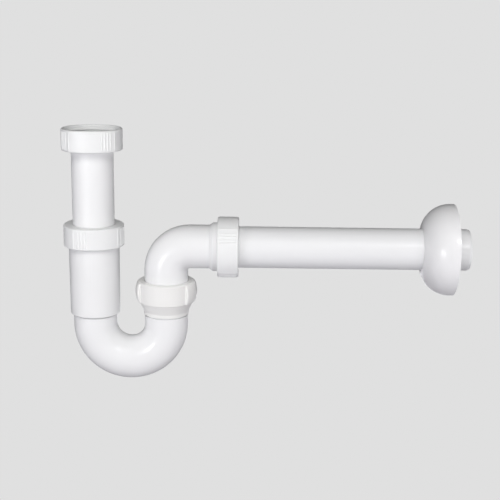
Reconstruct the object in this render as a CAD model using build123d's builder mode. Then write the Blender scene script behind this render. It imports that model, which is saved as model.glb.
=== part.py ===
from build123d import *
import os
from math import acos, cos, degrees, radians, sin, sqrt

# A tubular washbasin trap in white plastic. A union nut holds a flanged tube to the basin waste,
# the tube slides in a socket, a return bend holds the water seal, and an elbow under a second
# union nut leads to a wall tube with a rosette. Three slip joints let the trap be set to the wall.
# Millimetres, +Z up, +X towards the wall. The origin is on the inlet axis, on top of the inlet
# washer, where the end of the basin waste seats.

# Tubes and bends
tube_od = 32.0
tube_wall = 1.8
tube_chamfer = 0.9
tube_chamfer_length = 1.9
insertion_mark = 25.0
insertion_mark_width = 0.6
insertion_mark_depth = 0.25
bend_od = 33.8
bend_wall = 2.5
bend_straight = 8.6
elbow_throat = 1.6
leg_spacing = 55.5

# Lengths that set the layout
inlet_tube_exposed = 57.5
inlet_tube_insertion = 36.0
socket_exposed = 54.0
union_drop = 27.0
outlet_reach = 56.0
wall_tube_exposed = 177.5
wall_tube_insertion = 13.6
rosette_setback = 12.4

# Clearances: radial between a tube and what it slides in, radial between a tube and its seal,
# between a seal and its mouth, between faces that turn on each other, and radial between a
# thread's core and its nut's crests
bore_gap = 0.3
seal_gap = 0.1
seat_gap = 0.1
face_gap = 0.1
thread_gap = 0.1
stop_gap = 0.3

# Threads, drawn as plain cylinders: nuts at the major diameter, sockets at the minor. The room
# between tube and thread, where the seal sits, gives the 41.91 mm thread that goes with this tube
slip_room = 3.376
pipe_thread_depth = 1.479
union_thread_depth = 1.1
thread_chamfer = 0.8
thread_lead_in = 1.2
thread_relief = 0.25

# The three slip nuts: four slightly flattened panels that meet in ridges, with ribs beside each
nut_height = 16.2
nut_lip = 2.5
nut_wall = 2.15
nut_crown = 0.9
nut_chamfer = 0.6
nut_panels = 4
ridge_round = 1.5
ridge_rod = 0.8
ridge_stand = 0.25
rib_rod = 0.7
rib_stand = 0.4
rib_count = 4
rib_first_angle = 8.8
rib_pitch_angle = 5.7
rib_margin = 1.6
inlet_nut_phase = -53.0
socket_nut_phase = 57.5
outlet_nut_phase = 43.5

# The union nut, with two barrel-sided finger grips
union_height = 16.7
union_wall = 1.8
grip_stand = 2.3
grip_end_stand = 0.7
grip_span = 72.0
grip_phase = 83.0
grip_margin = 0.9
grip_round = 1.2
arc_match = 0.01
union_chamfer = 0.7

# Rings and seals
flange_play = 1.95
flange_thickness = 2.2
washer_thickness = 2.4
slip_ring_thickness = 1.2
slip_ring_play = 0.6
seal_head = 2.0
seal_depth = 5.0
mouth_depth = 6.5
mouth_edge = 0.7

# Socket, collar and elbow outlet
socket_wall = 3.1
socket_taper = 0.25
socket_chamfer = 0.5
weld_spigot = 2.4
weld_spigot_wall = 1.2
weld_gap = 0.05
weld_groove = 1.2
socket_web = 2.5
collar_room = 1.8
collar_shoulder_setback = 1.1
collar_shoulder_edge = 0.4
collar_cone_height = 6.8
collar_ring_stand = 0.5
collar_ring_height = 2.4
collar_web = 1.4
outlet_ring_stand = 1.95
outlet_ring_width = 3.6
outlet_flare = 2.6

# Rosette: an arc of revolution that runs out into a short straight skirt at the wall
rosette_radius = 35.3
rosette_arc_radius = 22.0
rosette_skirt = 2.6
rosette_wall = 1.5

# Radii that follow from the sizes above
tube_radius = tube_od / 2
tube_bore = tube_radius - tube_wall
bend_radius = bend_od / 2
bend_bore = bend_radius - bend_wall
spigot_radius = bend_bore + weld_spigot_wall
pipe_core_radius = tube_radius + slip_room
pipe_thread_radius = pipe_core_radius + thread_gap + pipe_thread_depth
flange_radius = pipe_thread_radius - flange_play
nut_panel_radius = pipe_thread_radius + nut_wall
nut_ridge_radius = nut_panel_radius + nut_crown
elbow_radius = bend_radius + elbow_throat
socket_radius = tube_radius + bore_gap + socket_wall
union_core_radius = bend_radius + collar_room
union_thread_radius = union_core_radius + thread_gap + union_thread_depth
union_radius = union_thread_radius + union_wall
grip_radius = union_radius + grip_stand
grip_end_radius = union_radius + grip_end_stand
outlet_ring_radius = bend_radius + outlet_ring_stand

# A slip nut's panel is an arc over two ridges and the point midway, centred behind the nut's axis
panel_angle = 360 / nut_panels
panel_half_chord = nut_ridge_radius * sin(radians(panel_angle / 2))
panel_rise = nut_panel_radius - nut_ridge_radius * cos(radians(panel_angle / 2))
panel_arc_radius = (panel_half_chord**2 + panel_rise**2) / (2 * panel_rise)
panel_centre_offset = panel_arc_radius - nut_panel_radius

# Depths below a slip nut's lip face: its slip ring, its seal, and the mouth that the seal sits in
ring_depth = nut_lip + face_gap
seal_top_depth = ring_depth + slip_ring_thickness + face_gap
mouth_top_depth = seal_top_depth + seal_head

# Heights on the inlet axis
flange_top = -washer_thickness
flange_bottom = flange_top - flange_thickness
inlet_lip_face = flange_bottom - face_gap - nut_lip
socket_lip_face = inlet_lip_face - inlet_tube_exposed
bend_end = socket_lip_face - nut_height - socket_exposed
bend_centre = bend_end - bend_straight

# Heights above the bend's outlet leg, and the elbow's two axes
collar_ring_top = bend_end + collar_ring_height
collar_shoulder_top = collar_ring_top + collar_cone_height + collar_shoulder_edge
union_lip_face = collar_shoulder_top + face_gap + union_height
elbow_x = leg_spacing
pipe_height = union_lip_face + union_drop
outlet_lip_face = elbow_x + outlet_reach
wall_tube_end = outlet_lip_face + wall_tube_exposed

# Working planes: each lies on a nut's lip face, with x to the front and z out of the lip
front = (0, -1, 0)
inlet_place = Plane(origin=(0, 0, inlet_lip_face), x_dir=front, z_dir=(0, 0, -1))
socket_place = Plane(origin=(0, 0, socket_lip_face), x_dir=front, z_dir=(0, 0, 1))
union_place = Plane(origin=(elbow_x, 0, union_lip_face), x_dir=front, z_dir=(0, 0, 1))
outlet_place = Plane(origin=(outlet_lip_face, 0, pipe_height), x_dir=front, z_dir=(1, 0, 0))
rosette_place = Plane(
    origin=(wall_tube_end - rosette_setback, 0, pipe_height), x_dir=front, z_dir=(1, 0, 0)
)


def axis_of(place):
    """The axis through a working plane's origin, square to it."""
    return Axis(place.origin, place.z_dir)


def axial_plane(place, angle=0.0):
    """The plane of a turned profile: x is the radius, y the height along place's axis."""
    turned_place = place.rotated((0, 0, angle))
    return Plane(origin=place.origin, x_dir=turned_place.x_dir, z_dir=-turned_place.y_dir)


def on_circle(radius, angle):
    """A point of a working plane, by its radius and its angle in degrees."""
    return (radius * cos(radians(angle)), radius * sin(radians(angle)))


def turned(place, outline):
    """A solid turned about place's axis from a closed outline of (radius, height) corners."""
    with BuildPart() as piece:
        with BuildSketch(axial_plane(place)):
            with BuildLine():
                Polyline(*outline, close=True)
            make_face()
        revolve(axis=axis_of(place))
    return piece


def nut_hollow(hole_radius, thread_radius, height):
    """Outline of the space in a nut: the hole in its lip, a relief, and the thread with its lead-in."""
    thread_end = -nut_lip - face_gap - flange_thickness - washer_thickness
    return [
        (0, face_gap),
        (hole_radius, face_gap),
        (hole_radius, -nut_lip),
        (thread_radius + thread_relief, -nut_lip),
        (thread_radius + thread_relief, thread_end),
        (thread_radius, thread_end),
        (thread_radius, -height + thread_lead_in),
        (thread_radius + thread_lead_in / 2, -height),
        (thread_radius + thread_lead_in / 2, -height - face_gap),
        (0, -height - face_gap),
    ]


def panel_radius(ridge_distance):
    """A panel's distance from its nut's axis, so many degrees past a ridge."""
    middle_distance = radians(ridge_distance - panel_angle / 2)
    sideways = panel_centre_offset * sin(middle_distance)
    return sqrt(panel_arc_radius**2 - sideways**2) - panel_centre_offset * cos(middle_distance)


def slip_nut(place, phase):
    """A slip nut whose lip face lies on place, with a ridge at the phase angle from the front."""
    ridge_angles = [phase + panel * panel_angle for panel in range(nut_panels)]
    with BuildPart() as nut:
        with BuildSketch(place):
            with BuildLine():
                for angle in ridge_angles:
                    ThreePointArc(
                        on_circle(nut_ridge_radius, angle),
                        on_circle(nut_panel_radius, angle + panel_angle / 2),
                        on_circle(nut_ridge_radius, angle + panel_angle),
                    )
            make_face()
        extrude(amount=-nut_height)
        fillet(nut.edges().filter_by(axis_of(place)), ridge_round)
        rims = nut.faces().filter_by(GeomType.PLANE).edges()
        chamfer(rims.filter_by(GeomType.CIRCLE), nut_chamfer)
        with BuildSketch(place.offset(-rib_margin)):
            for angle in ridge_angles:
                with Locations(on_circle(nut_ridge_radius - ridge_rod + ridge_stand, angle)):
                    Circle(ridge_rod)
                for rib in range(rib_count):
                    ridge_distance = rib_first_angle + rib * rib_pitch_angle
                    rib_radius = panel_radius(ridge_distance) - rib_rod + rib_stand
                    with Locations(on_circle(rib_radius, angle + ridge_distance)):
                        Circle(rib_rod)
        extrude(amount=2 * rib_margin - nut_height)
        with BuildSketch(axial_plane(place)):
            with BuildLine():
                Polyline(*nut_hollow(tube_radius + bore_gap, pipe_thread_radius, nut_height), close=True)
            make_face()
        revolve(axis=axis_of(place), mode=Mode.SUBTRACT)
    return nut


def slip_ring(place, inside_radius, thread_radius):
    """The hard flat ring between a nut's lip and its seal."""
    return turned(place, [
        (inside_radius + bore_gap, -ring_depth),
        (thread_radius - slip_ring_play, -ring_depth),
        (thread_radius - slip_ring_play, -ring_depth - slip_ring_thickness),
        (inside_radius + bore_gap, -ring_depth - slip_ring_thickness),
    ])


def wedge_seal(place, inside_radius, core_radius):
    """The rubber ring in a mouth: a head that stands out of it and a wedge that fills its cone."""
    mouth_radius = core_radius - mouth_edge
    bore_radius = inside_radius + bore_gap
    toe_radius = mouth_radius - (mouth_radius - bore_radius) * seal_depth / mouth_depth
    return turned(place, [
        (inside_radius + seal_gap, -seal_top_depth),
        (core_radius - seat_gap, -seal_top_depth),
        (core_radius - seat_gap, -mouth_top_depth + seat_gap),
        (mouth_radius - seat_gap, -mouth_top_depth + seat_gap),
        (toe_radius - seat_gap, -mouth_top_depth - seal_depth),
        (inside_radius + seal_gap, -mouth_top_depth - seal_depth),
    ])


def mouth_outline(inside_radius, core_radius):
    """The mouth's corners, from the bore's edge out over the rim to the thread's core."""
    return [
        (inside_radius + bore_gap, -mouth_top_depth - mouth_depth),
        (core_radius - mouth_edge, -mouth_top_depth),
        (core_radius - mouth_edge / 2, -mouth_top_depth),
        (core_radius, -mouth_top_depth - thread_chamfer),
    ]


# The inlet: nut, washer and flanged tube
inlet_nut = slip_nut(inlet_place, inlet_nut_phase)

inlet_washer = turned(Plane.XY, [
    (tube_bore, 0),
    (flange_radius, 0),
    (flange_radius, flange_top),
    (tube_bore, flange_top),
])

inlet_tube_end = socket_lip_face - mouth_top_depth - inlet_tube_insertion
inlet_tube = turned(Plane.XY, [
    (tube_bore, flange_top),
    (flange_radius, flange_top),
    (flange_radius, flange_bottom),
    (tube_radius, flange_bottom),
    (tube_radius, inlet_tube_end + tube_chamfer_length),
    (tube_radius - tube_chamfer, inlet_tube_end),
    (tube_bore, inlet_tube_end),
])

# The slip joint of the inlet tube
socket_nut = slip_nut(socket_place, socket_nut_phase)
socket_slip_ring = slip_ring(socket_place, tube_radius, pipe_thread_radius)
socket_seal = wedge_seal(socket_place, tube_radius, pipe_core_radius)

socket_bottom = bend_end - socket_lip_face
inlet_socket = turned(socket_place, mouth_outline(tube_radius, pipe_core_radius) + [
    (pipe_core_radius, -nut_height),
    (socket_radius, -nut_height - socket_chamfer),
    (socket_radius - socket_taper, socket_bottom + socket_chamfer),
    (socket_radius - socket_taper - socket_chamfer, socket_bottom),
    (spigot_radius + weld_gap, socket_bottom),
    (spigot_radius + weld_gap, socket_bottom + weld_spigot + weld_gap),
    (bend_bore, socket_bottom + weld_spigot + weld_gap),
    (bend_bore, socket_bottom + weld_spigot + socket_web),
    (tube_radius + bore_gap, socket_bottom + weld_spigot + socket_web),
])

# The return bend: two short legs with welding spigots, and a half ring between them. A fine
# groove is left open at each weld
with BuildPart() as return_bend:
    with BuildSketch(Plane.XY.offset(bend_centre)):
        with Locations((0, 0), (leg_spacing, 0)):
            Circle(bend_radius)
            Circle(bend_bore, mode=Mode.SUBTRACT)
    extrude(amount=bend_straight - weld_groove)
    with BuildSketch(Plane.XY.offset(bend_end - weld_groove)):
        with Locations((0, 0), (leg_spacing, 0)):
            Circle(spigot_radius)
            Circle(bend_bore, mode=Mode.SUBTRACT)
    extrude(amount=weld_groove + weld_spigot)
    with BuildSketch(Plane.XY.offset(bend_centre)):
        Circle(bend_radius)
        Circle(bend_bore, mode=Mode.SUBTRACT)
    revolve(axis=Axis((leg_spacing / 2, 0, bend_centre), (0, -1, 0)), revolution_arc=180)

# The union joint between the return bend and the elbow
collar_bottom = bend_end - union_lip_face
collar_shoulder = -union_height - face_gap
collar_shoulder_radius = union_radius - collar_shoulder_setback
collar_ring_radius = bend_radius + collar_ring_stand
collar_stop = collar_bottom + weld_spigot + collar_web
outlet_collar = turned(union_place, mouth_outline(bend_radius, union_core_radius) + [
    (union_core_radius, collar_shoulder),
    (collar_shoulder_radius, collar_shoulder),
    (collar_shoulder_radius, collar_shoulder - collar_shoulder_edge),
    (collar_ring_radius, collar_bottom + collar_ring_height),
    (collar_ring_radius, collar_bottom),
    (spigot_radius + weld_gap, collar_bottom),
    (spigot_radius + weld_gap, collar_bottom + weld_spigot + weld_gap),
    (bend_bore, collar_bottom + weld_spigot + weld_gap),
    (bend_bore, collar_stop),
    (bend_radius + bore_gap, collar_stop),
])

union_slip_ring = slip_ring(union_place, bend_radius, union_thread_radius)
union_seal = wedge_seal(union_place, bend_radius, union_core_radius)

with BuildPart() as union_nut:
    with BuildSketch(axial_plane(union_place)):
        with BuildLine():
            Polyline(
                (0, 0),
                (union_radius - union_chamfer, 0),
                (union_radius, -union_chamfer),
                (union_radius, union_chamfer - union_height),
                (union_radius - union_chamfer, -union_height),
                (0, -union_height),
                close=True,
            )
        make_face()
    revolve(axis=axis_of(union_place))
    grip_root = (union_radius + union_thread_radius) / 2
    for side in (0, 180):
        with BuildSketch(axial_plane(union_place, grip_phase + side - grip_span / 2)):
            with BuildLine():
                ThreePointArc(
                    (grip_end_radius, -grip_margin),
                    (grip_radius, -union_height / 2),
                    (grip_end_radius, grip_margin - union_height),
                )
                Polyline(
                    (grip_end_radius, grip_margin - union_height),
                    (grip_root, grip_margin - union_height),
                    (grip_root, -grip_margin),
                    (grip_end_radius, -grip_margin),
                )
            make_face()
        revolve(axis=axis_of(union_place), revolution_arc=grip_span)
    grip_height = union_height - 2 * grip_margin
    grip_rise = grip_radius - grip_end_radius
    grip_arc_radius = (grip_height**2 / 4 + grip_rise**2) / (2 * grip_rise)
    arcs = union_nut.edges().filter_by(GeomType.CIRCLE)
    fillet(arcs.filter_by(lambda arc: abs(arc.radius - grip_arc_radius) < arc_match), grip_round)
    with BuildSketch(axial_plane(union_place)):
        with BuildLine():
            Polyline(*nut_hollow(bend_radius + bore_gap, union_thread_radius, union_height), close=True)
        make_face()
    revolve(axis=axis_of(union_place), mode=Mode.SUBTRACT)

# The elbow: a plain spigot, a quarter bend and a slip socket towards the wall
elbow_turn = pipe_height - elbow_radius
elbow_foot = union_lip_face + collar_stop + stop_gap
outlet_ring_end = -nut_height - outlet_ring_width
outlet_tube_stop = -mouth_top_depth - wall_tube_insertion - stop_gap
with BuildPart() as outlet_elbow:
    with BuildSketch(Plane.XY.offset(elbow_foot)):
        with Locations((elbow_x, 0)):
            Circle(bend_radius)
            Circle(bend_bore, mode=Mode.SUBTRACT)
    extrude(amount=elbow_turn - elbow_foot)
    with BuildSketch(Plane.XY.offset(elbow_turn)):
        with Locations((elbow_x, 0)):
            Circle(bend_radius)
            Circle(bend_bore, mode=Mode.SUBTRACT)
    revolve(axis=Axis((elbow_x + elbow_radius, 0, elbow_turn), (0, 1, 0)), revolution_arc=90)
    with BuildSketch(axial_plane(outlet_place)):
        with BuildLine():
            Polyline(
                *mouth_outline(tube_radius, pipe_core_radius),
                (pipe_core_radius, -nut_height + socket_chamfer),
                (outlet_ring_radius, -nut_height),
                (outlet_ring_radius, outlet_ring_end),
                (bend_radius, outlet_ring_end - outlet_flare),
                (bend_radius, elbow_radius - outlet_reach),
                (bend_bore, elbow_radius - outlet_reach),
                (bend_bore, outlet_tube_stop),
                (tube_radius + bore_gap, outlet_tube_stop),
                close=True,
            )
        make_face()
    revolve(axis=axis_of(outlet_place))

# The slip joint of the wall tube
outlet_nut = slip_nut(outlet_place, outlet_nut_phase)
outlet_slip_ring = slip_ring(outlet_place, tube_radius, pipe_thread_radius)
outlet_seal = wedge_seal(outlet_place, tube_radius, pipe_core_radius)

# The wall tube, with a fine groove that marks how far it goes into the wall's socket
wall_tube_start = -mouth_top_depth - wall_tube_insertion
mark_end = wall_tube_exposed - insertion_mark
mark_start = mark_end - insertion_mark_width
wall_tube = turned(outlet_place, [
    (tube_bore, wall_tube_start),
    (tube_radius - tube_chamfer, wall_tube_start),
    (tube_radius, wall_tube_start + tube_chamfer_length),
    (tube_radius, mark_start),
    (tube_radius - insertion_mark_depth, mark_start),
    (tube_radius - insertion_mark_depth, mark_end),
    (tube_radius, mark_end),
    (tube_radius, wall_tube_exposed - tube_chamfer_length),
    (tube_radius - tube_chamfer, wall_tube_exposed),
    (tube_bore, wall_tube_exposed),
])

# The rosette: its outer and inner arcs share a centre in the plane where its skirt begins
with BuildPart() as wall_rosette:
    arc_centre = rosette_radius - rosette_arc_radius
    inner_arc_radius = rosette_arc_radius - rosette_wall
    inner_radius = rosette_radius - rosette_wall
    hole_radius = tube_radius + bore_gap
    outer_angle = degrees(acos((hole_radius - arc_centre) / rosette_arc_radius))
    inner_angle = degrees(acos((hole_radius - arc_centre) / inner_arc_radius))
    with BuildSketch(axial_plane(rosette_place)):
        with BuildLine():
            centre = (arc_centre, -rosette_skirt)
            outer_arc = CenterArc(centre, rosette_arc_radius, -outer_angle, outer_angle)
            inner_arc = CenterArc(centre, inner_arc_radius, -inner_angle, inner_angle)
            Line(outer_arc @ 0, inner_arc @ 0)
            Polyline(outer_arc @ 1, (rosette_radius, 0), (inner_radius, 0), inner_arc @ 1)
        make_face()
    revolve(axis=axis_of(rosette_place))

pieces = {
    "inlet_nut": inlet_nut,
    "inlet_washer": inlet_washer,
    "inlet_tube": inlet_tube,
    "socket_nut": socket_nut,
    "socket_slip_ring": socket_slip_ring,
    "socket_seal": socket_seal,
    "inlet_socket": inlet_socket,
    "return_bend": return_bend,
    "outlet_collar": outlet_collar,
    "union_nut": union_nut,
    "union_slip_ring": union_slip_ring,
    "union_seal": union_seal,
    "outlet_elbow": outlet_elbow,
    "outlet_nut": outlet_nut,
    "outlet_slip_ring": outlet_slip_ring,
    "outlet_seal": outlet_seal,
    "wall_tube": wall_tube,
    "wall_rosette": wall_rosette,
}
os.makedirs("parts", exist_ok=True)
for name, piece in pieces.items():
    piece.part.label = name
    export_step(piece.part, f"parts/{name}.step")
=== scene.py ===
"""A tubular washbasin trap in white plastic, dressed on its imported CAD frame. Metres, +Z up."""
import math

import bpy
from mathutils import Euler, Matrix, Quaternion, Vector


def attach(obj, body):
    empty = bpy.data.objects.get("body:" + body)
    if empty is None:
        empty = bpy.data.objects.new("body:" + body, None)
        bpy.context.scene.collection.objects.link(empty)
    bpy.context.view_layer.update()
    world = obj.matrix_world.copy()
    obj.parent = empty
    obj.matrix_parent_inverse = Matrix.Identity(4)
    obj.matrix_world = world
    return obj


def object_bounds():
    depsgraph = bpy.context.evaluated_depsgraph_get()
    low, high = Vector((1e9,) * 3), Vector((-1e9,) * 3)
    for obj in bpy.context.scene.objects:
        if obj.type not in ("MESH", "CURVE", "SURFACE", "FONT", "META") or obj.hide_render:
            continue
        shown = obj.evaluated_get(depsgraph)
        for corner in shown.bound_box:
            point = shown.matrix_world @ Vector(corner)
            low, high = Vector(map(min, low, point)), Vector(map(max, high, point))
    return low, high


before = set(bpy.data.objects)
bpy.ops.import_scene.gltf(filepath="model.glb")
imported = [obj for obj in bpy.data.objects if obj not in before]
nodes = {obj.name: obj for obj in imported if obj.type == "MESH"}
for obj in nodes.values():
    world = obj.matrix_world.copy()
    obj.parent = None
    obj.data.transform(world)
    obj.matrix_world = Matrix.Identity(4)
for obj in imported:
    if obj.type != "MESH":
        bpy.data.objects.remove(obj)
cad_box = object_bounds()

# Camera, fitted to the photograph's 500 pixel frame
IMAGE_SIZE = 500.0
FOCAL_PIXELS = 1026.3
SENSOR_WIDTH = 36.0
CAMERA_PLACE = Vector((0.1203, -0.7715, 0.1008))
CAMERA_PITCH = math.radians(13.456)
CAMERA_ROLL = math.radians(0.743)

# Stage: the floor lies well below the part, which hangs from the basin waste
FLOOR_HEIGHT = -0.55
FLOOR_RADIUS = 8.0
FLOOR_CORNERS = 96
FLOOR_COLOUR = (0.80, 0.80, 0.80)
FLOOR_BOUNCE_COLOUR = (0.58, 0.57, 0.60)
BACKDROP_COLOUR = (0.745, 0.745, 0.745, 1.0)

# The shadow's share of the floor's look under the part, and where from the middle it fades out
SHADOW_SHARE = 0.55
SHADOW_FADE = (0.22, 0.50)

# Light: a dim surround, broad lamps above the camera and to both sides of it, two small ones that
# give the highlights, and a broad one behind the part for its far side
SURROUND_COLOUR = (0.97, 0.95, 1.0, 1.0)
SURROUND_LEVEL = 0.05
LAMP_AIM = Vector((0.13, 0.0, -0.09))
LAMPS = [
    # name, place, width, height, watts, colour, true for highlights alone or false for plain light
    ("high_front", (0.085, -1.575, 1.32), 1.20, 0.90, 21.8, (1.0, 0.99, 0.97), False),
    ("by_camera", (0.12, -1.60, 0.21), 0.50, 0.50, 3.0, (1.0, 1.0, 1.0), False),
    ("front_left", (-0.85, -1.10, 0.10), 0.70, 0.70, 6.8, (0.975, 0.97, 1.0), False),
    ("front_right", (1.05, -1.10, 0.10), 0.70, 0.70, 4.4, (1.0, 0.985, 1.0), False),
    ("side_left", (-1.35, -0.25, 0.0), 0.70, 0.70, 1.0, (0.97, 0.96, 1.0), False),
    ("side_right", (1.65, -0.25, 0.0), 0.70, 0.70, 3.4, (1.0, 0.98, 1.0), False),
    ("spot_left", (-0.28, -0.56, -0.09), 0.11, 0.15, 0.62, (1.0, 1.0, 1.0), True),
    ("spot_right", (0.745, -1.75, 1.065), 0.22, 0.22, 5.5, (1.0, 1.0, 1.0), True),
    ("back", (0.13, 1.40, -0.35), 0.90, 0.60, 13.0, (1.0, 1.0, 1.0), False),
]

# Threads: eleven turns to the inch, as ridges on the plain cylinders of nuts and sockets. Millimetres
MILLIMETRE = 0.001
PITCH = 25.4 / 11
RIDGE_ROOT = 1.65
RIDGE_CREST = 0.4
RIDGE_SINK = 0.05
STEPS_PER_TURN = 64
RUN_OUT_TURNS = 0.4
RUN_OUT_WIDTH = 0.2

# The cylinders that carry the ridges, and the ridges' heights on slip joints and on the union
SLIP_NUT_RADIUS = 20.955
SLIP_CORE_RADIUS = 19.376
SLIP_RIDGE = 1.25
UNION_NUT_RADIUS = 19.9
UNION_CORE_RADIUS = 18.7
UNION_RIDGE = 0.9

# The centre of each nut's lip face, and the way out of it
INLET_LIP = ((0, 0, -7.2), (0, 0, -1))
SOCKET_LIP = ((0, 0, -64.7), (0, 0, 1))
UNION_LIP = ((55.5, 0, -108.5), (0, 0, 1))
OUTLET_LIP = ((111.5, 0, -81.5), (1, 0, 0))

# Shares of the pitch by which a nut's ridge and its socket's are shifted
ON_HELIX = 0.0
BETWEEN = 0.5
THREADS = [
    # name, body, slot, lip, radius, height (inwards where negative), depths below the lip, shift
    ("inlet_nut_thread", "inlet_nut", "nut_plastic",
     INLET_LIP, SLIP_NUT_RADIUS, -SLIP_RIDGE, (7.6, 13.85), ON_HELIX),
    ("socket_nut_thread", "socket_nut", "nut_plastic",
     SOCKET_LIP, SLIP_NUT_RADIUS, -SLIP_RIDGE, (7.6, 15.0), ON_HELIX),
    ("socket_thread", "trap", "socket_plastic",
     SOCKET_LIP, SLIP_CORE_RADIUS, SLIP_RIDGE, (7.8, 16.2), BETWEEN),
    ("union_nut_thread", "union_nut", "nut_plastic",
     UNION_LIP, UNION_NUT_RADIUS, -UNION_RIDGE, (7.6, 15.4), ON_HELIX),
    ("collar_thread", "trap", "nut_plastic",
     UNION_LIP, UNION_CORE_RADIUS, UNION_RIDGE, (7.8, 16.6), BETWEEN),
    ("outlet_nut_thread", "outlet_nut", "nut_plastic",
     OUTLET_LIP, SLIP_NUT_RADIUS, -SLIP_RIDGE, (7.6, 15.0), ON_HELIX),
    ("outlet_thread", "elbow", "bend_plastic",
     OUTLET_LIP, SLIP_CORE_RADIUS, SLIP_RIDGE, (7.8, 15.8), BETWEEN),
]

# Plastic: cells to the metre of its clouding, gloss and grain, and how far its roughness strays
CLOUD_CELLS = 40.0
GLOSS_CELLS = 120.0
GRAIN_CELLS = 700.0
GLOSS_SPREAD = (-0.02, 0.03)
PLASTIC_IOR = 1.49

# Streaks to the metre that the die leaves along an upright tube and along a level one
UPRIGHT_STREAKS = (500.0, 500.0, 3.0)
LEVEL_STREAKS = (3.0, 500.0, 500.0)

# The mould seam of the bends: half its width in metres, and its height as a share of that
SEAM_WIDTH = 0.0002
SEAM_RISE = 0.25

# Rubber
RUBBER_BLACK = (0.012, 0.012, 0.013)
RUBBER_BLOOM = (0.034, 0.034, 0.036)
RUBBER_ROUGHNESS = (0.55, 0.75)
BLOOM_CELLS = 320.0
RUBBER_GRAIN_CELLS = 2200.0
RUBBER_GRAIN = 0.00004


def new_material(name):
    """A node material; returns it with its tree and its Principled shader."""
    material = bpy.data.materials.new(name)
    material.use_nodes = True
    tree = material.node_tree
    return material, tree, tree.nodes["Principled BSDF"]


def object_coordinates(tree):
    """The piece's own coordinates: metres in the part's frame, which move with the piece."""
    return tree.nodes.new("ShaderNodeTexCoord").outputs["Object"]


def noise(tree, coordinates, scale, stretch=(1, 1, 1), detail=3.0):
    """The value of a noise with so many cells to the metre."""
    mapping = tree.nodes.new("ShaderNodeMapping")
    mapping.inputs["Scale"].default_value = stretch
    texture = tree.nodes.new("ShaderNodeTexNoise")
    texture.inputs["Scale"].default_value = scale
    texture.inputs["Detail"].default_value = detail
    tree.links.new(coordinates, mapping.inputs["Vector"])
    tree.links.new(mapping.outputs["Vector"], texture.inputs["Vector"])
    return texture.outputs["Fac"]


def ranged(tree, value, low, high, start=0.3, end=0.7):
    """The value's span from start to end, laid on low to high."""
    node = tree.nodes.new("ShaderNodeMapRange")
    node.interpolation_type = "SMOOTHSTEP"
    node.inputs["From Min"].default_value = start
    node.inputs["From Max"].default_value = end
    node.inputs["To Min"].default_value = low
    node.inputs["To Max"].default_value = high
    tree.links.new(value, node.inputs["Value"])
    return node.outputs["Result"]


def mixed(tree, factor, colour_a, colour_b):
    """A colour that goes from one to the other with the factor."""
    node = tree.nodes.new("ShaderNodeMix")
    node.data_type = "RGBA"
    node.inputs["A"].default_value = (*colour_a, 1.0)
    node.inputs["B"].default_value = (*colour_b, 1.0)
    tree.links.new(factor, node.inputs["Factor"])
    return node.outputs["Result"]


def bumped(tree, height, distance, under=None):
    """A bump so many metres high, over another if one is given."""
    node = tree.nodes.new("ShaderNodeBump")
    node.inputs["Distance"].default_value = distance
    tree.links.new(height, node.inputs["Height"])
    if under is not None:
        tree.links.new(under, node.inputs["Normal"])
    return node.outputs["Normal"]


def seam(tree, coordinates, half_width):
    """One on the part's middle plane, where the halves of a bend's mould meet, and nothing beside it."""
    split = tree.nodes.new("ShaderNodeSeparateXYZ")
    tree.links.new(coordinates, split.inputs["Vector"])
    size = tree.nodes.new("ShaderNodeMath")
    size.operation = "ABSOLUTE"
    tree.links.new(split.outputs["Y"], size.inputs[0])
    return ranged(tree, size.outputs["Value"], 1.0, 0.0, 0.0, half_width)


def plastic(name, pale, shade, roughness, grain, streaks=None, seam_width=None):
    """White plastic: faint clouding, uneven gloss and fine grain, with die streaks or a mould seam."""
    material, tree, shader = new_material(name)
    place = object_coordinates(tree)
    clouds = noise(tree, place, CLOUD_CELLS)
    tree.links.new(mixed(tree, clouds, pale, shade), shader.inputs["Base Color"])
    gloss = noise(tree, place, GLOSS_CELLS, detail=4.0)
    smoothest, roughest = (roughness + stray for stray in GLOSS_SPREAD)
    tree.links.new(ranged(tree, gloss, smoothest, roughest), shader.inputs["Roughness"])
    normal = bumped(tree, noise(tree, place, GRAIN_CELLS), grain)
    if streaks is not None:
        normal = bumped(tree, noise(tree, place, 1.0, stretch=streaks), grain, under=normal)
    if seam_width is not None:
        normal = bumped(tree, seam(tree, place, seam_width), seam_width * SEAM_RISE, under=normal)
    tree.links.new(normal, shader.inputs["Normal"])
    shader.inputs["IOR"].default_value = PLASTIC_IOR
    return material


def rubber(name):
    """Matt black rubber with a fine bloom."""
    material, tree, shader = new_material(name)
    place = object_coordinates(tree)
    bloom = noise(tree, place, BLOOM_CELLS, detail=6.0)
    tree.links.new(mixed(tree, bloom, RUBBER_BLACK, RUBBER_BLOOM), shader.inputs["Base Color"])
    tree.links.new(ranged(tree, bloom, *RUBBER_ROUGHNESS), shader.inputs["Roughness"])
    grain = noise(tree, place, RUBBER_GRAIN_CELLS)
    tree.links.new(bumped(tree, grain, RUBBER_GRAIN), shader.inputs["Normal"])
    return material


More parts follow.
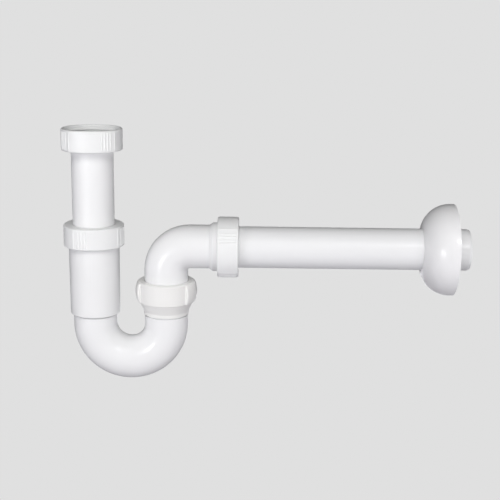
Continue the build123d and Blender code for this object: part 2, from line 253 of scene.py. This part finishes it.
# Each plastic has two near shades of white, a roughness and the height of its grain in metres
nut_plastic = plastic("nut_plastic", (0.868, 0.878, 0.878), (0.852, 0.862, 0.860), 0.42, 0.0000025)
union_plastic = plastic("union_plastic", (0.868, 0.868, 0.852), (0.852, 0.852, 0.836), 0.31, 0.0000025)
socket_plastic = plastic("socket_plastic", (0.866, 0.872, 0.876), (0.852, 0.858, 0.860), 0.235, 0.000002)
bend_plastic = plastic(
    "bend_plastic", (0.868, 0.874, 0.880), (0.854, 0.860, 0.866), 0.23, 0.000002, seam_width=SEAM_WIDTH
)
rosette_plastic = plastic("rosette_plastic", (0.874, 0.876, 0.884), (0.860, 0.862, 0.870), 0.20, 0.0000015)
inlet_tube_plastic = plastic(
    "inlet_tube_plastic", (0.878, 0.884, 0.888), (0.864, 0.870, 0.874), 0.42, 0.0000015,
    streaks=UPRIGHT_STREAKS,
)
wall_tube_plastic = plastic(
    "wall_tube_plastic", (0.852, 0.860, 0.868), (0.838, 0.846, 0.854), 0.31, 0.0000015,
    streaks=LEVEL_STREAKS,
)
ring_plastic = plastic("ring_plastic", (0.80, 0.80, 0.76), (0.77, 0.77, 0.73), 0.45, 0.000005)
seal_rubber = rubber("seal_rubber")

finishes = {
    "inlet_nut": nut_plastic,
    "socket_nut": nut_plastic,
    "outlet_nut": nut_plastic,
    "union_nut": union_plastic,
    "outlet_collar": union_plastic,
    "inlet_socket": socket_plastic,
    "inlet_tube": inlet_tube_plastic,
    "wall_tube": wall_tube_plastic,
    "return_bend": bend_plastic,
    "outlet_elbow": bend_plastic,
    "wall_rosette": rosette_plastic,
    "inlet_washer": seal_rubber,
    "socket_seal": seal_rubber,
    "union_seal": seal_rubber,
    "outlet_seal": seal_rubber,
    "socket_slip_ring": ring_plastic,
    "union_slip_ring": ring_plastic,
    "outlet_slip_ring": ring_plastic,
}
for node, finish in finishes.items():
    nodes[node].data.materials.clear()
    nodes[node].data.materials.append(finish)

thread_finishes = {
    "inlet_nut_thread": nut_plastic,
    "socket_nut_thread": nut_plastic,
    "socket_thread": socket_plastic,
    "union_nut_thread": union_plastic,
    "collar_thread": union_plastic,
    "outlet_nut_thread": nut_plastic,
    "outlet_thread": bend_plastic,
}


def thread_ridge(name, lip, radius, height, depths, shift):
    """A right-hand helical ridge on a cylinder, running out at both ends. A negative height points inwards.

    It follows the lip's own helix, shifted by a share of the pitch, so that a nut's ridge and its
    socket's lie between each other, also when the nut is unscrewed.
    """
    centre, axis = (Vector(part) for part in lip)
    side = Vector((0, -1, 0))
    other = axis.cross(side)
    turns = (depths[1] - depths[0]) / PITCH
    steps = int(turns * STEPS_PER_TURN)
    sink = -math.copysign(RIDGE_SINK, height)
    vertices = []
    for step in range(steps + 1):
        turn = turns * step / steps
        run = min(1.0, turn / RUN_OUT_TURNS, (turns - turn) / RUN_OUT_TURNS)
        run = run * run * (3 - 2 * run)
        angle = 2 * math.pi * (turn - depths[1] / PITCH)
        along = (turn + shift) * PITCH - depths[1]
        outwards = math.cos(angle) * side + math.sin(angle) * other
        width = RUN_OUT_WIDTH + (1 - RUN_OUT_WIDTH) * run
        root = width * RIDGE_ROOT / 2
        crest = width * RIDGE_CREST / 2
        for offset, level in ((-root, sink), (-crest, height * run), (crest, height * run), (root, sink)):
            point = centre + (along + offset) * axis + (radius + level) * outwards
            vertices.append(point * MILLIMETRE)
    last = 4 * steps
    faces = [(3, 2, 1, 0), (last, last + 1, last + 2, last + 3)]
    for step in range(steps):
        for edge in range(4):
            corner = 4 * step + edge
            beside = 4 * step + (edge + 1) % 4
            faces.append((corner, beside, beside + 4, corner + 4))
    if height > 0:
        faces = [face[::-1] for face in faces]
    mesh = bpy.data.meshes.new(name)
    mesh.from_pydata(vertices, [], faces)
    mesh.update()
    ridge = bpy.data.objects.new(name, mesh)
    bpy.context.scene.collection.objects.link(ridge)
    return ridge


for name, body, slot, *form in THREADS:
    ridge = thread_ridge(name, *form)
    ridge.data.materials.append(thread_finishes[name])
    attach(ridge, body)


def backdrop_share(tree):
    """One for what the camera sees directly or through a clear piece, else nothing."""
    path = tree.nodes.new("ShaderNodeLightPath")
    larger = tree.nodes.new("ShaderNodeMath")
    larger.operation = "MAXIMUM"
    tree.links.new(path.outputs["Is Camera Ray"], larger.inputs[0])
    tree.links.new(path.outputs["Is Transmission Ray"], larger.inputs[1])
    return larger.outputs["Value"]


def floor_material():
    """A pale floor that takes the part's shadow under it and runs out into the backdrop further off."""
    material = bpy.data.materials.new("floor")
    material.use_nodes = True
    tree = material.node_tree
    tree.nodes.clear()
    output = tree.nodes.new("ShaderNodeOutputMaterial")
    matt = tree.nodes.new("ShaderNodeBsdfDiffuse")
    seen = backdrop_share(tree)
    tree.links.new(mixed(tree, seen, FLOOR_BOUNCE_COLOUR, FLOOR_COLOUR), matt.inputs["Color"])
    glow = tree.nodes.new("ShaderNodeEmission")
    glow.inputs["Color"].default_value = BACKDROP_COLOUR
    reach = tree.nodes.new("ShaderNodeVectorMath")
    reach.operation = "LENGTH"
    tree.links.new(object_coordinates(tree), reach.inputs[0])
    plain = ranged(tree, reach.outputs["Value"], 1.0 - SHADOW_SHARE, 1.0, *SHADOW_FADE)
    glow_share = tree.nodes.new("ShaderNodeMath")
    glow_share.operation = "MULTIPLY"
    tree.links.new(seen, glow_share.inputs[0])
    tree.links.new(plain, glow_share.inputs[1])
    mix = tree.nodes.new("ShaderNodeMixShader")
    tree.links.new(glow_share.outputs["Value"], mix.inputs["Fac"])
    tree.links.new(matt.outputs["BSDF"], mix.inputs[1])
    tree.links.new(glow.outputs["Emission"], mix.inputs[2])
    tree.links.new(mix.outputs["Shader"], output.inputs["Surface"])
    return material


def make_floor():
    """A large disc under the part."""
    bpy.ops.mesh.primitive_circle_add(vertices=FLOOR_CORNERS, radius=FLOOR_RADIUS, fill_type="NGON")
    floor = bpy.context.object
    floor.name = "floor"
    middle = (Vector(cad_box[0]) + Vector(cad_box[1])) / 2
    floor.location = (middle.x, middle.y, FLOOR_HEIGHT)
    floor.data.materials.append(floor_material())


def make_world():
    """A plain backdrop for the camera, and a dim surround that lights the part."""
    world = bpy.data.worlds.new("studio")
    bpy.context.scene.world = world
    world.use_nodes = True
    tree = world.node_tree
    tree.nodes.clear()
    output = tree.nodes.new("ShaderNodeOutputWorld")
    backdrop = tree.nodes.new("ShaderNodeBackground")
    backdrop.inputs["Color"].default_value = BACKDROP_COLOUR
    surround = tree.nodes.new("ShaderNodeBackground")
    surround.inputs["Color"].default_value = SURROUND_COLOUR
    surround.inputs["Strength"].default_value = SURROUND_LEVEL
    mix = tree.nodes.new("ShaderNodeMixShader")
    tree.links.new(backdrop_share(tree), mix.inputs["Fac"])
    tree.links.new(surround.outputs["Background"], mix.inputs[1])
    tree.links.new(backdrop.outputs["Background"], mix.inputs[2])
    tree.links.new(mix.outputs["Shader"], output.inputs["Surface"])


def make_lamp(name, place, width, height, watts, colour, highlights):
    """A rectangular lamp that the camera doesn't see. It gives either highlights or plain light."""
    data = bpy.data.lights.new(name, "AREA")
    data.shape = "RECTANGLE"
    data.size = width
    data.size_y = height
    data.energy = watts
    data.color = colour
    lamp = bpy.data.objects.new(name, data)
    bpy.context.scene.collection.objects.link(lamp)
    lamp.location = place
    lamp.rotation_mode = "QUATERNION"
    lamp.rotation_quaternion = (LAMP_AIM - Vector(place)).to_track_quat("-Z", "Y")
    lamp.visible_camera = False
    lamp.visible_glossy = highlights
    lamp.visible_diffuse = not highlights


def make_camera():
    """The photograph's camera: square on, looking down a little, a touch rolled."""
    data = bpy.data.cameras.new("camera")
    data.sensor_width = SENSOR_WIDTH
    data.lens = SENSOR_WIDTH * FOCAL_PIXELS / IMAGE_SIZE
    camera = bpy.data.objects.new("camera", data)
    bpy.context.scene.collection.objects.link(camera)
    camera.location = CAMERA_PLACE
    camera.rotation_mode = "QUATERNION"
    pitch = Euler((math.radians(90) - CAMERA_PITCH, 0, 0)).to_quaternion()
    camera.rotation_quaternion = pitch @ Quaternion((0, 0, 1), CAMERA_ROLL)
    bpy.context.scene.camera = camera


make_floor()
make_world()
for lamp_settings in LAMPS:
    make_lamp(*lamp_settings)
make_camera()
bpy.context.scene.view_settings.view_transform = "Standard"
